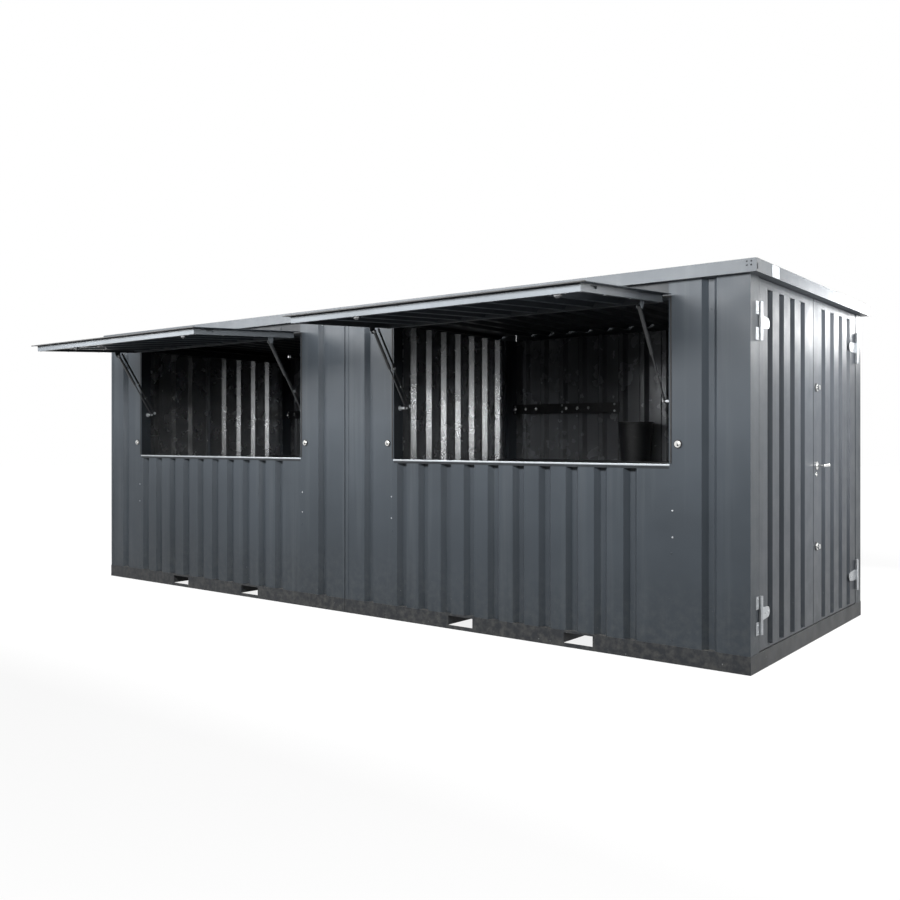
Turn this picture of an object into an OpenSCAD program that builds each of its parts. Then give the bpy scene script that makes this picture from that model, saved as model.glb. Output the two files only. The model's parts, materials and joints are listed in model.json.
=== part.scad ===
// Serving bar made of two steel container modules set side by side.
// Each module is a pressed-steel box with a counter-height opening in its front,
// closed by a top-hinged hatch that stands open as an awning on two gas struts.
// Double doors close the two far ends.
// Frame: origin on the ground, at the centre of the footprint, +X towards the right end,
// -Y towards the front with its hatches, +Z up. Millimetres.

/* [Modules] */
// Length of one module along the front
module_l = 3000; // [2600:10:3700]
// Depth of a module, front to back, over the base rails
module_w = 2200; // [1900:10:2700]
// Height from the ground to the top of the roof edge
module_h = 2220; // [2100:10:2700]
// Gap between the two modules where they stand side by side
seam = 4; // [2:1:20]

/* [Sheet] */
// Thickness of the wall, roof and hatch sheet
sheet_t = 3; // [1.5:0.5:4]
// Distance from one pressed groove to the next
groove_pitch = 194; // [150:1:240]
// Width of a wall groove at its mouth
groove_w = 87; // [60:1:110]
// Width of a wall groove at its bottom
groove_floor_w = 33; // [20:1:50]
// Depth of a pressed groove
groove_d = 35; // [15:1:40]
// Least plain width between a sheet's edge and its first groove
plain_margin = 28; // [20:1:60]

/* [Base] */
// Height of the base rails
rail_h = 100; // [90:1:160]
// Depth of a base rail's flanges
rail_d = 60; // [50:1:80]
// Plate thickness of the base rails
rail_t = 4; // [3:0.5:6]
// How far the base rails stand out from the wall faces
rail_proud = 4; // [2:1:10]
// Distance of each fork pocket from the middle of its module
pocket_offset = 445; // [300:5:600]
// Width of a fork pocket
pocket_w = 200; // [150:5:240]
// Underside of a fork pocket's mouth above the ground
pocket_z = 25; // [15:1:30]
// Height of a fork pocket
pocket_h = 62; // [45:1:64]
// Thickness of the floor boards
floor_t = 21; // [12:1:30]

/* [Posts and roof edge] */
// Width of a corner post seen from the front
post_w = 35; // [25:1:60]
// Width of a corner post seen from the end
post_d = 129; // [90:1:180]
// Height of the roof edge profile
fascia_h = 72; // [50:1:110]
// How far the roof edge stands out from the base rails
overhang = 48; // [30:1:80]
// Width of the roof edge's flanges
fascia_flange = 93; // [80:1:140]
// Height of the drain slot at each end of the roof's end edges
corner_slot_h = 34; // [10:1:40]

/* [Serving opening] */
// Distance from a module's end to its serving opening
pillar_w = 470; // [430:5:600]
// Height of the counter's top edge
sill_z = 1120; // [900:5:1200]
// Height of the sill's front lip
sill_lip = 25; // [15:1:40]
// Depth of the sill, front to back
sill_d = 96; // [60:1:200]
// Top of the serving opening
head_z = 2050; // [1950:5:2080]
// Depth of the jambs and of the head
jamb_d = 93; // [80:1:140]
// Width of the jamb's inner flange
jamb_flange = 30; // [15:1:40]
// Distance of the first counter groove from the opening's right edge
counter_first = 241; // [150:1:300]
// Distance of a pillar's groove from its module's end
pillar_groove = 233; // [150:1:300]
// Distance of a pillar lock from the opening
lock_in = 55; // [35:1:80]
// Height of the pillar locks
lock_z = 1235; // [1150:5:1400]
// Radius of a pillar lock's rosette
lock_r = 19; // [14:1:24]

/* [Hatch] */
// Height of the hatch's hinge axis
hinge_z = 2086; // [2060:1:2110]
// Distance of the hinge axis from the wall face
hinge_off = 16; // [14:1:24]
// Gap between the closed hatch's frame and the sill
hatch_foot_gap = 7; // [6:1:15]
// How far the hatch skin reaches below its frame
hatch_foot_lap = 31; // [10:1:60]
// How far the hatch skin laps over the wall beside the opening
hatch_lap = 30; // [20:1:40]
// Gap between the closed hatch and the wall face
hatch_gap = 5; // [5:1:10]
// Angle that the hatch turns from closed to open
hatch_open = 86.7; // [60:0.1:95]
// Depth of the hatch frame
hatch_rail_d = 43; // [40:1:60]
// Width of the hatch frame's side rails
side_rail_w = 25; // [20:1:40]
// Width of the hatch frame's two cross rails
cross_rail_w = 40; // [25:1:60]
// Distance from the hinge axis to the upper cross rail
cross_rail_drop = 45; // [42:1:80]
// Gap between the hatch frame and the jambs
frame_gap = 10; // [6:1:20]
// Length of the slot in each side rail near the hatch's free edge
rail_slot_l = 62; // [30:1:120]
// Hinges on each hatch
hatch_hinge_count = 4; // [2:1:6]

/* [Gas struts] */
// Distance of a strut's upper pivot from the hatch's hinge axis, along the hatch
strut_along = 250; // [200:5:300]
// Depth of that pivot behind the hatch's hinge axis
strut_in = 85; // [80:1:100]
// Distance of the lower pivot behind the wall face
strut_foot_in = 66; // [50:1:75]
// Height of the lower pivot
strut_foot_z = 1480; // [1430:5:1520]
// Radius of the strut's tube
tube_r = 11; // [8:0.5:12]
// Length of the tube from its open end to the upper pivot
tube_l = 290; // [250:5:300]
// Radius of the strut's rod
strut_rod_r = 5; // [3:0.5:6]

/* [Doors] */
// Gap between a door leaf and its post
door_gap = 8; // [6:1:14]
// Gap between the two leaves
leaf_gap = 8; // [8:1:14]
// Gap above the base rail and under the roof edge
leaf_clear = 6; // [5:1:15]
// Distance of the first leaf groove from the middle of the end
leaf_first = 210; // [150:1:300]
// Width of a leaf groove at its mouth
leaf_groove_w = 83; // [60:1:110]
// Height of the plain strip at the top of a leaf
leaf_strip = 46; // [20:1:120]
// Distance of the door hinge axis from the leaf's face
door_hinge_off = 14; // [13:1:20]
// Height of the lever handle
handle_z = 1096; // [900:1:1300]
// Height of the lower round lock
knob_low_z = 588; // [300:1:800]
// Height of the upper round lock
knob_high_z = 1588; // [1300:1:1800]
// Height of the lower hinges' feet
door_hinge_low = 200; // [150:10:500]
// Distance of the upper hinges' feet below the leaf's top
door_hinge_drop = 342; // [300:1:600]

/* [Inside] */
// Top of the shelf along the back wall
shelf_z = 1085; // [700:5:1200]
// Depth of that shelf
shelf_d = 300; // [200:5:450]
// Thickness of that shelf
shelf_t = 25; // [15:1:40]
// Middle height of the hook rail
hook_z = 1530; // [1300:5:1800]
// Height of the hook rail's board
hook_rail_h = 86; // [40:1:120]
// Length of the hook rail
hook_rail_l = 1060; // [600:10:1400]
// Height of the tub on the shelf
tub_h = 315; // [200:5:400]
// Radius of the tub at its rim
tub_r = 140; // [100:5:145]
// Distance of the tub from its module's left end
tub_x = 1320; // [400:10:2400]
// Brackets under each shelf
bracket_count = 4; // [2:1:6]

/* [Hidden] */
$fn = 48;

// Planes that the pieces share
front_y = -module_w / 2;
wall_y = front_y + rail_proud;
end_x = module_l + seam / 2;
leaf_x = end_x - rail_proud;
post_set = rail_proud / 2;
fascia_z = module_h - fascia_h;
wall_depth = groove_d + sheet_t;
inner_y = module_w / 2 - rail_proud - wall_depth;
opening_w = module_l - 2 * pillar_w;
post_in_y = module_w / 2 - post_set - post_d;
inside_x = rail_proud + wall_depth + leaf_clear;

// Roof sheet: how far it laps under the edge profiles' flanges, and its groove depth
roof_lap = 53;
roof_groove_d = 25;

// Hatch frame of reference: the hinge axis is the origin and the hatch hangs closed
hinge_y = wall_y - hinge_off;
hatch_foot = hinge_z - sill_z - hatch_foot_gap;
hatch_len = hatch_foot + hatch_foot_lap;
skin_in = hinge_off - hatch_gap;
skin_top = -14;
hatch_x0 = pillar_w - hatch_lap;
frame_x0 = pillar_w + frame_gap;
knuckle_r = 9;
pin_r = 5;
pin_play = 0.2;
knuckle_gap = 0.5;
hatch_knuckle_l = 40;
hinge_leaf_t = 3;

// Struts
strut_plate_t = 4;
strut_gap = 5;
strut_x = frame_x0 + side_rail_w + strut_plate_t + strut_gap + tube_r;
strut_eye_l = 12;
strut_foot = [wall_y + strut_foot_in, strut_foot_z];
strut_cap = tube_r + 2;
rod_play = 0.5;
pin_short = 0.8;

// Doors
door_axis_y = module_w / 2 - post_set - post_d - door_gap / 2 + 1;
door_axis_x = leaf_x + door_hinge_off;
leaf_out_y = post_in_y - door_gap;
leaf_in_y = leaf_gap / 2;
leaf_z0 = rail_h + leaf_clear;
leaf_z1 = fascia_z - leaf_clear;
leaf_rib_z0 = leaf_z0 + 10;
leaf_rib_z1 = leaf_z1 - leaf_strip;
leaf_grooves = floor((leaf_out_y - leaf_first - leaf_groove_w / 2 - 2 * sheet_t) / groove_pitch);
door_knuckle_l = 70;
door_hinge_high = leaf_z1 - door_hinge_drop;
strap_t = 4;
strap_l = 150;
strap_tip_r = 30;
lock_y = leaf_in_y + 50;

// Inside
hook_rail_x = post_w + 3;
hook_rail_t = 20;
knob_pitch = 110;
knob_group_pitch = 529;
tub_wall = 4;

// A point turned about the origin by an angle
function turn(p, a) = [p[0] * cos(a) - p[1] * sin(a), p[0] * sin(a) + p[1] * cos(a)];

strut_head_shut = [hinge_y + strut_in, hinge_z - strut_along];
strut_head_open = [hinge_y, hinge_z] + turn([strut_in, -strut_along], -hatch_open);
strut_open_l = norm(strut_head_open - strut_foot);
strut_shut_l = norm(strut_head_shut - strut_foot);
strut_tilt = atan2(strut_foot[0] - strut_head_open[0], strut_head_open[1] - strut_foot[1]);
strut_rod_l = strut_shut_l - strut_cap - 4;

// How many grooves fit in a span, and their centres when the row is centred
function groove_count(span, w) = floor((span - w) / groove_pitch) + 1;
function centred(mid, n) = [for (i = [0:n - 1]) mid + (i - (n - 1) / 2) * groove_pitch];

back_grooves =
    centred(module_l / 2, groove_count(module_l - 2 * (post_w + plain_margin), groove_w));

// Outline of a pressed sheet seen end on: its outer face lies on the x axis,
// and its grooves run to a depth d behind it, with a true sheet thickness all round
function groove_line(c, w, fw, d) = [[c - w / 2, 0], [c - fw / 2, d], [c + fw / 2, d], [c + w / 2, 0]];
function groove_back(c, w, fw, d) =
    let (s = sheet_t * tan(atan2(d, (w - fw) / 2) / 2))
    [[c + w / 2 + s, sheet_t], [c + fw / 2 + s, d + sheet_t],
     [c - fw / 2 - s, d + sheet_t], [c - w / 2 - s, sheet_t]];
function reversed(v) = [for (i = [len(v) - 1:-1:0]) v[i]];
function pressed(x0, x1, centres, w = groove_w, fw = groove_floor_w, d = groove_d) = concat(
    [[x0, 0]],
    [for (c = centres) each groove_line(c, w, fw, d)],
    [[x1, 0], [x1, sheet_t]],
    [for (c = reversed(centres)) each groove_back(c, w, fw, d)],
    [[x0, sheet_t]]);

// Left end of a module: m is 0 for the left one and 1 for the right one
function module_x(m) = m * (module_l + seam) - module_l - seam / 2;

// Both modules, each from its own left end
module each_module() {
    for (m = [0, 1]) translate([module_x(m), 0, 0]) children();
}

// Both sides of a module, mirrored about its middle
module both_sides() {
    children();
    translate([module_l, 0, 0]) mirror([1, 0, 0]) children();
}

// Front and back of the bar
module front_and_back() {
    children();
    mirror([0, 1, 0]) children();
}

// Right and left ends of the bar
module both_ends() {
    children();
    mirror([1, 0, 0]) children();
}

module front_sheet(x0, x1, z0, z1, centres) {
    translate([0, wall_y, z0]) linear_extrude(z1 - z0) polygon(pressed(x0, x1, centres));
}

// ---- Base ----

module side_rail() {
    translate([0, front_y, 0]) difference() {
        cube([module_l, rail_d, rail_h]);
        translate([rail_t, rail_t, rail_t])
            cube([module_l - 2 * rail_t, rail_d, rail_h - 2 * rail_t]);
        for (s = [-1, 1])
            translate([module_l / 2 + s * pocket_offset - pocket_w / 2, -1, pocket_z])
                cube([pocket_w, rail_t + 2, pocket_h]);
    }
}

module base_side_rails() {
    color("#2c2d31") each_module() front_and_back() side_rail();
}

module end_rail() {
    translate([end_x - rail_d, front_y + rail_d, 0]) difference() {
        cube([rail_d, module_w - 2 * rail_d, rail_h]);
        translate([-1, -1, rail_t])
            cube([rail_d + 1 - rail_t, module_w - 2 * rail_d + 2, rail_h - 2 * rail_t]);
    }
}

module base_cross_rails() {
    color("#414448") {
        both_ends() end_rail();
        difference() {
            half = seam / 2 + rail_d;
            translate([-half, front_y + rail_d, 0]) cube([2 * half, module_w - 2 * rail_d, rail_h]);
            both_ends() translate([seam / 2 + rail_t, front_y, rail_t])
                cube([rail_d, module_w, rail_h - 2 * rail_t]);
        }
    }
}

module fork_channels() {
    w = pocket_w + 2 * rail_t;
    color("#2c2d31") each_module() for (s = [-1, 1])
        translate([module_l / 2 + s * pocket_offset - w / 2, front_y + rail_t, pocket_z])
            difference() {
                cube([w, module_w - 2 * rail_t, pocket_h + rail_t]);
                translate([rail_t, -1, -1])
                    cube([pocket_w, module_w, pocket_h + 1]);
            }
}

module floors() {
    play = 3;
    color("#5a4c3c") each_module() translate([inside_x, play - inner_y, rail_h])
        cube([module_l - 2 * inside_x, 2 * (inner_y - play), floor_t]);
}

// ---- Posts, walls and openings ----

module corner_posts() {
    color("#4b4f54") each_module() both_sides() front_and_back()
        translate([post_set, front_y + post_set, rail_h])
            cube([post_w - post_set, post_d, fascia_z - rail_h]);
}

module front_pillar_panels() {
    color("#696f74") each_module() both_sides()
        front_sheet(post_w, pillar_w, rail_h, fascia_z, [pillar_groove]);
}

module counter_panels() {
    n = groove_count(opening_w - counter_first - groove_w / 2 - plain_margin, 0);
    color("#2e3237") each_module()
        front_sheet(pillar_w, module_l - pillar_w, rail_h, sill_z - sill_lip,
            [for (i = [n - 1:-1:0]) module_l - pillar_w - counter_first - i * groove_pitch]);
}

module opening_jambs() {
    color("#3a3e43") each_module() both_sides()
        translate([0, wall_y + sheet_t, sill_z]) {
            translate([pillar_w - sheet_t, 0, 0]) cube([sheet_t, jamb_d, head_z - sill_z]);
            translate([pillar_w - jamb_flange, jamb_d - sheet_t, 0])
                cube([jamb_flange, sheet_t, head_z - sill_z]);
        }
}

module opening_heads() {
    color("#3a3e43") each_module() {
        translate([pillar_w, wall_y, head_z]) {
            cube([opening_w, sheet_t, fascia_z - head_z]);
            cube([opening_w, jamb_d + sheet_t, sheet_t]);
            translate([0, jamb_d, 0]) cube([opening_w, sheet_t, jamb_flange]);
        }
        translate([pillar_w - jamb_flange, wall_y + sheet_t, head_z])
            cube([opening_w + 2 * jamb_flange, jamb_d, sheet_t]);
    }
}

module sills() {
    color("#8c9196") each_module() translate([pillar_w, wall_y, sill_z - sill_lip]) difference() {
        cube([opening_w, sill_d, sill_lip]);
        translate([-1, sheet_t, -1]) cube([opening_w + 2, sill_d, sill_lip - sheet_t + 1]);
    }
    color("#8c9196") each_module() both_sides()
        translate([pillar_w - jamb_flange, wall_y + sheet_t, sill_z - sheet_t])
            cube([jamb_flange, sill_d - sheet_t, sheet_t]);
}

module back_walls() {
    color("#4b4f54") each_module() mirror([0, 1, 0])
        front_sheet(post_w, module_l - post_w, rail_h, fascia_z, back_grooves);
}

module partition_wall() {
    n = groove_count(2 * (post_in_y - plain_margin), groove_w);
    color("#4b4f54") translate([-wall_depth / 2, 0, rail_h]) rotate([0, 0, -90])
        linear_extrude(fascia_z - rail_h)
            polygon(pressed(-post_in_y, post_in_y, centred(0, n)));
}

module door_headers() {
    w = 40;
    h = 60;
    color("#3a3e43") both_ends()
        translate([leaf_x - wall_depth - leaf_clear - w, -post_in_y, fascia_z - h])
            cube([w, 2 * post_in_y, h]);
}

// ---- Roof ----

module roof_sheets() {
    x0 = seam / 2;
    edge_gap = 10;
    span = end_x + overhang - edge_gap;
    n = groove_count(span - 2 * plain_margin, groove_w);
    y0 = front_y - overhang + fascia_flange - roof_lap;
    color("#4b4f54") for (m = [0, 1]) mirror([m, 0, 0])
        translate([0, y0, module_h - sheet_t]) rotate([-90, 0, 0])
            linear_extrude(-2 * y0)
                polygon(pressed(x0, span, centred(span / 2, n), d = roof_groove_d));
}

module side_edge() {
    translate([seam / 2, front_y - overhang, fascia_z]) difference() {
        cube([module_l + overhang - sheet_t, fascia_flange, fascia_h]);
        translate([-1, sheet_t, sheet_t])
            cube([module_l + overhang + 2, fascia_flange, fascia_h - 2 * sheet_t]);
    }
}

module roof_side_edges() {
    color("#696f74") both_ends() front_and_back() side_edge();
}

module roof_end_edges() {
    reach = module_w / 2 + overhang;
    inside = reach - fascia_flange;
    slot_in = 9;
    slot_rise = 12;
    slot_w = 14;
    color("#c6cacd") both_ends() {
        difference() {
            translate([end_x + overhang - sheet_t, -reach, fascia_z])
                cube([sheet_t, 2 * reach, fascia_h]);
            front_and_back() translate([end_x, -reach + slot_in, fascia_z + slot_rise])
                cube([2 * overhang, slot_w, corner_slot_h]);
        }
        for (z = [fascia_z, module_h - sheet_t])
            translate([end_x + overhang - 2 * fascia_flange, -inside, z])
                cube([2 * fascia_flange - sheet_t / 2, 2 * inside, sheet_t]);
    }
}

// ---- Fixed fittings ----

module pillar_locks() {
    rose_t = 8;
    core_l = 14;
    key_w = 3;
    key_l = 14;
    color("#b4b7bb") each_module() both_sides()
        translate([pillar_w - lock_in, wall_y, lock_z]) rotate([90, 0, 0]) difference() {
            union() {
                cylinder(r = lock_r, h = rose_t);
                cylinder(r = lock_r - 5, h = core_l);
            }
            translate([-key_w / 2, -key_l / 2, rose_t + 2]) cube([key_w, key_l, core_l]);
        }
}

module strut_feet() {
    flange_r = 18;
    flange_t = 3;
    boss_r = 9;
    cap_r = 8;
    cap_t = 4;
    eye_near = strut_x - pillar_w - strut_eye_l / 2;
    eye_far = strut_x - pillar_w + strut_eye_l / 2;
    color("#c0c4c8") each_module() both_sides()
        translate([pillar_w, strut_foot[0], strut_foot[1]]) rotate([0, 90, 0]) {
            cylinder(r = flange_r, h = flange_t);
            cylinder(r = boss_r, h = eye_near - 2);
            cylinder(r = pin_r, h = eye_far + cap_t);
            translate([0, 0, eye_far + 1]) cylinder(r = cap_r, h = cap_t);
        }
}

function hatch_hinge_x(i) =
    hatch_x0 + (module_l - 2 * hatch_x0) * (i + 0.5) / hatch_hinge_count;

module hatch_hinge_leaves() {
    leaf_h = 45;
    neck_t = 6;
    color("#3a3e43") each_module() for (i = [0:hatch_hinge_count - 1])
        translate([hatch_hinge_x(i) - hatch_knuckle_l / 2, hinge_y, hinge_z]) difference() {
            union() {
                rotate([0, 90, 0]) cylinder(r = knuckle_r, h = hatch_knuckle_l);
                translate([0, 0, knuckle_r - neck_t]) cube([hatch_knuckle_l, hinge_off, neck_t]);
                translate([0, hinge_off - hinge_leaf_t, knuckle_r - neck_t])
                    cube([hatch_knuckle_l, hinge_leaf_t, leaf_h]);
            }
            translate([-1, 0, 0]) rotate([0, 90, 0])
                cylinder(r = pin_r + pin_play, h = hatch_knuckle_l + 2);
        }
}

// Fixed half of a door hinge, its foot at the lower knuckle's underside
module post_hinge() {
    plate_l = 55;
    for (z = [0, 2 * door_knuckle_l]) translate([0, 0, z]) {
        h = door_knuckle_l - knuckle_gap * (z == 0 ? 1 : 0);
        cylinder(r = knuckle_r, h = h);
        translate([-door_hinge_off + rail_proud - post_set, -plate_l, 0])
            cube([strap_t, plate_l, h]);
    }
    cylinder(r = pin_r, h = 3 * door_knuckle_l);
}

// Places a piece at the right front door's hinge axis, on the ground
module at_door_axis() {
    translate([door_axis_x, -door_axis_y, 0]) children();
}

module each_door_hinge() {
    for (z = [door_hinge_low, door_hinge_high]) translate([0, 0, z]) children();
}

module post_hinge_leaves() {
    color("#b9bdc0") both_ends() front_and_back() at_door_axis() each_door_hinge() post_hinge();
}

// ---- Inside ----

module back_shelves() {
    color("#17181a") each_module()
        translate([inside_x, inner_y - shelf_d, shelf_z - shelf_t])
            cube([module_l - 2 * inside_x, shelf_d, shelf_t]);
}

module shelf_brackets() {
    tip = 20;
    leg = shelf_d - 3 * tip;
    plate_t = 4;
    n = len(back_grooves);
    color("#2c2d31") each_module() for (i = [0:bracket_count - 1])
        translate([back_grooves[round((i + 0.5) * n / bracket_count - 0.5)], inner_y, shelf_z - shelf_t])
            rotate([90, 0, -90]) linear_extrude(plate_t)
                polygon([[0, 0], [leg, 0], [leg, -tip], [tip, -leg], [0, -leg]]);
}

module hook_rails() {
    color("#17181a") each_module()
        translate([hook_rail_x, inner_y - hook_rail_t, hook_z - hook_rail_h / 2])
            cube([hook_rail_l, hook_rail_t, hook_rail_h]);
}

module hook_knobs() {
    stem_r = 5;
    stem_l = 22;
    head_r = 13;
    head_l = 16;
    first = hook_rail_x + 47;
    color("#c0c4c8") each_module() for (g = [0:1], k = [0:2])
        translate([first + g * knob_group_pitch + k * knob_pitch, inner_y - hook_rail_t, hook_z])
            rotate([90, 0, 0]) {
                cylinder(r = stem_r, h = stem_l + 8);
                translate([0, 0, stem_l]) cylinder(r = head_r, h = head_l);
            }
}

module tubs() {
    foot_r = 0.82 * tub_r;
    color("#141517") each_module() translate([tub_x, inner_y - shelf_d / 2, shelf_z])
        rotate_extrude() polygon([[0, 0], [foot_r, 0], [tub_r, tub_h], [tub_r - tub_wall, tub_h],
            [foot_r - tub_wall, tub_wall], [0, tub_wall]]);
}

// ---- Hatches ----

module at_hatch(m) {
    translate([module_x(m), hinge_y, hinge_z]) rotate([-hatch_open, 0, 0]) children();
}

module hatch_panel(m) {
    rib_top = -cross_rail_drop - cross_rail_w;
    rib_foot = -hatch_foot + cross_rail_w;
    w = module_l - 2 * hatch_x0;
    rail_margin = 80;
    n = groove_count(w - 2 * (hatch_lap + frame_gap + side_rail_w + rail_margin), groove_w);
    at_hatch(m) {
        translate([0, skin_in - sheet_t, rib_foot]) linear_extrude(rib_top - rib_foot)
            polygon(pressed(hatch_x0, module_l - hatch_x0, centred(module_l / 2, n)));
        translate([hatch_x0, skin_in - sheet_t, rib_top]) cube([w, sheet_t, skin_top - rib_top]);
        translate([hatch_x0, skin_in - sheet_t, -hatch_len])
            cube([w, sheet_t, rib_foot + hatch_len]);
    }
}

module hatch_side_rails(m) {
    slot_rise = 100;
    slot_in = 7;
    slot_w = 16;
    plate_w = 48;
    plate_in = 8;
    eye_r = 14;
    at_hatch(m) both_sides() {
        difference() {
            translate([frame_x0, skin_in, -hatch_foot])
                cube([side_rail_w, hatch_rail_d, hatch_foot - cross_rail_drop]);
            translate([frame_x0 - 1, skin_in + slot_in, slot_rise - hatch_foot])
                cube([side_rail_w / 2, slot_w, rail_slot_l]);
        }
        translate([frame_x0 + side_rail_w, 0, 0]) rotate([0, 90, 0]) {
            translate([strut_along, strut_in, 0]) cylinder(r = eye_r, h = strut_plate_t);
            translate([strut_along - plate_w / 2, skin_in + plate_in, 0])
                cube([plate_w, strut_in - skin_in - plate_in - 4, strut_plate_t]);
        }
    }
}

module hatch_cross_rails(m) {
    x0 = frame_x0 + side_rail_w;
    at_hatch(m) for (z = [-cross_rail_drop - cross_rail_w, -hatch_foot])
        translate([x0, skin_in, z]) cube([module_l - 2 * x0, hatch_rail_d, cross_rail_w]);
}

module hatch_hinges(m) {
    wing = 30;
    drop = 70;
    outer = skin_in - sheet_t;
    plate_top = skin_top - 4;
    at_hatch(m) for (i = [0:hatch_hinge_count - 1]) translate([hatch_hinge_x(i), 0, 0]) {
        for (s = [0, 1]) mirror([s, 0, 0]) translate([hatch_knuckle_l / 2 + knuckle_gap, 0, 0]) {
            rotate([0, 90, 0]) cylinder(r = knuckle_r, h = wing);
            translate([0, 0, -wing]) cube([wing, outer, wing]);
        }
        translate([-hatch_knuckle_l / 2 - knuckle_gap - wing, outer - hinge_leaf_t, -drop])
            cube([hatch_knuckle_l + 2 * (knuckle_gap + wing), hinge_leaf_t, drop + plate_top]);
        rotate([0, 90, 0]) cylinder(r = pin_r, h = hatch_knuckle_l + 20, center = true);
    }
}

// ---- Gas struts, both of one hatch ----

module at_struts(m) {
    translate([module_x(m), strut_foot[0], strut_foot[1]]) both_sides()
        translate([strut_x, 0, 0]) rotate([strut_tilt, 0, 0]) children();
}

module strut_rods(m) {
    at_struts(m) difference() {
        union() {
            rotate([0, 90, 0]) cylinder(r = tube_r, h = strut_eye_l, center = true);
            cylinder(r = strut_rod_r, h = strut_rod_l);
        }
        rotate([0, 90, 0]) cylinder(r = pin_r + pin_play, h = strut_eye_l + 2, center = true);
    }
}

module strut_tubes(m) {
    at_struts(m) translate([0, 0, strut_open_l]) {
        difference() {
            translate([0, 0, -tube_l]) cylinder(r = tube_r, h = tube_l);
            translate([0, 0, -tube_l - 1]) cylinder(r = strut_rod_r + rod_play, h = tube_l + 1 - strut_cap);
        }
        rotate([0, 90, 0]) cylinder(r = tube_r, h = strut_eye_l, center = true);
        rotate([0, -90, 0]) cylinder(r = pin_r, h = tube_r + strut_gap - pin_short);
    }
}

// ---- Doors ----

// Right front leaf, from its hinge edge to the middle of the end
module leaf() {
    w = leaf_out_y - leaf_in_y;
    h = leaf_z1 - leaf_z0;
    centres = [for (i = [leaf_grooves:-1:0]) -leaf_first - i * (groove_pitch - 1)];
    translate([leaf_x, 0, leaf_rib_z0]) rotate([0, 0, 90]) linear_extrude(leaf_rib_z1 - leaf_rib_z0)
        polygon(pressed(-leaf_out_y, -leaf_in_y, centres, leaf_groove_w));
    translate([leaf_x - wall_depth, -leaf_out_y, leaf_z0]) {
        for (y = [0, w - sheet_t]) translate([0, y, 0]) cube([wall_depth, sheet_t, h]);
        for (z = [leaf_rib_z0 - sheet_t - leaf_z0, leaf_rib_z1 - leaf_z0, h - sheet_t])
            translate([0, 0, z]) cube([wall_depth, w, sheet_t]);
        translate([groove_d, 0, 0]) cube([sheet_t, w, leaf_rib_z0 - leaf_z0]);
        translate([groove_d, 0, leaf_rib_z1 - leaf_z0]) cube([sheet_t, w, leaf_z1 - leaf_rib_z1]);
    }
}

module strap() {
    mid = 1.5 * door_knuckle_l;
    z0 = door_knuckle_l;
    root_half = 36;
    taper_from = 45;
    tip = knuckle_r + strap_l - strap_tip_r;
    upper = [[knuckle_r, root_half], [taper_from, root_half], [tip, strap_tip_r]];
    lower = [for (p = reversed(upper)) [p[0], -p[1]]];
    difference() {
        union() {
            translate([0, 0, z0]) cylinder(r = knuckle_r, h = door_knuckle_l - knuckle_gap);
            translate([-door_hinge_off, 0, z0])
                cube([2 * strap_t, 16, door_knuckle_l - knuckle_gap]);
            translate([-door_hinge_off, 0, mid]) rotate([90, 0, 90]) linear_extrude(strap_t) {
                polygon(concat(upper, lower));
                translate([tip, 0]) circle(r = strap_tip_r);
            }
        }
        translate([0, 0, z0 - 1]) cylinder(r = pin_r + pin_play, h = door_knuckle_l + 2);
    }
}

module straps() {
    at_door_axis() each_door_hinge() strap();
}

module back_door_lock() {
    rose_r = 26;
    lever_r = 9;
    lever_out = 52;
    lever_l = 125;
    knob_r = 22;
    color("#c0c4c8") translate([leaf_x, lock_y, 0]) {
        translate([0, 0, handle_z]) {
            rotate([0, 90, 0]) cylinder(r = rose_r, h = 8);
            rotate([0, 90, 0]) cylinder(r = lever_r, h = lever_out);
            translate([lever_out - lever_r + 1, 0, 0])
                rotate([-90, 0, 0]) cylinder(r = lever_r, h = lever_l);
        }
        for (z = [knob_low_z, knob_high_z]) translate([0, 0, z]) rotate([0, 90, 0]) {
            cylinder(r = knob_r, h = 10);
            cylinder(r = 0.7 * knob_r, h = 24);
        }
    }
}

base_side_rails();
base_cross_rails();
fork_channels();
floors();
corner_posts();
front_pillar_panels();
counter_panels();
opening_jambs();
opening_heads();
sills();
back_walls();
partition_wall();
door_headers();
roof_sheets();
roof_side_edges();
roof_end_edges();
pillar_locks();
strut_feet();
hatch_hinge_leaves();
post_hinge_leaves();
back_shelves();
shelf_brackets();
hook_rails();
hook_knobs();
tubs();
color("#3d4247") hatch_panel(0);  // left_hatch_panel
color("#73797d") hatch_side_rails(0);  // left_hatch_side_rails
color("#73797d") hatch_cross_rails(0);  // left_hatch_cross_rails
color("#3a3e43") hatch_hinges(0);  // left_hatch_hinges
color("#1c1d1f") strut_tubes(0);  // left_strut_tubes
color("#c0c4c8") strut_rods(0);  // left_strut_rods
color("#3d4247") hatch_panel(1);  // right_hatch_panel
color("#73797d") hatch_side_rails(1);  // right_hatch_side_rails
color("#73797d") hatch_cross_rails(1);  // right_hatch_cross_rails
color("#3a3e43") hatch_hinges(1);  // right_hatch_hinges
color("#1c1d1f") strut_tubes(1);  // right_strut_tubes
color("#c0c4c8") strut_rods(1);  // right_strut_rods
color("#737980") leaf();  // right_front_door
color("#737980") mirror([0, 1, 0]) leaf();  // right_back_door
color("#737980") mirror([1, 0, 0]) leaf();  // left_front_door
color("#737980") mirror([1, 0, 0]) mirror([0, 1, 0]) leaf();  // left_back_door
color("#b9bdc0") straps();  // right_front_straps
color("#b9bdc0") mirror([0, 1, 0]) straps();  // right_back_straps
color("#b9bdc0") mirror([1, 0, 0]) straps();  // left_front_straps
color("#b9bdc0") mirror([1, 0, 0]) mirror([0, 1, 0]) straps();  // left_back_straps
back_door_lock();  // right_door_lock
mirror([1, 0, 0]) back_door_lock();  // left_door_lock
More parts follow.
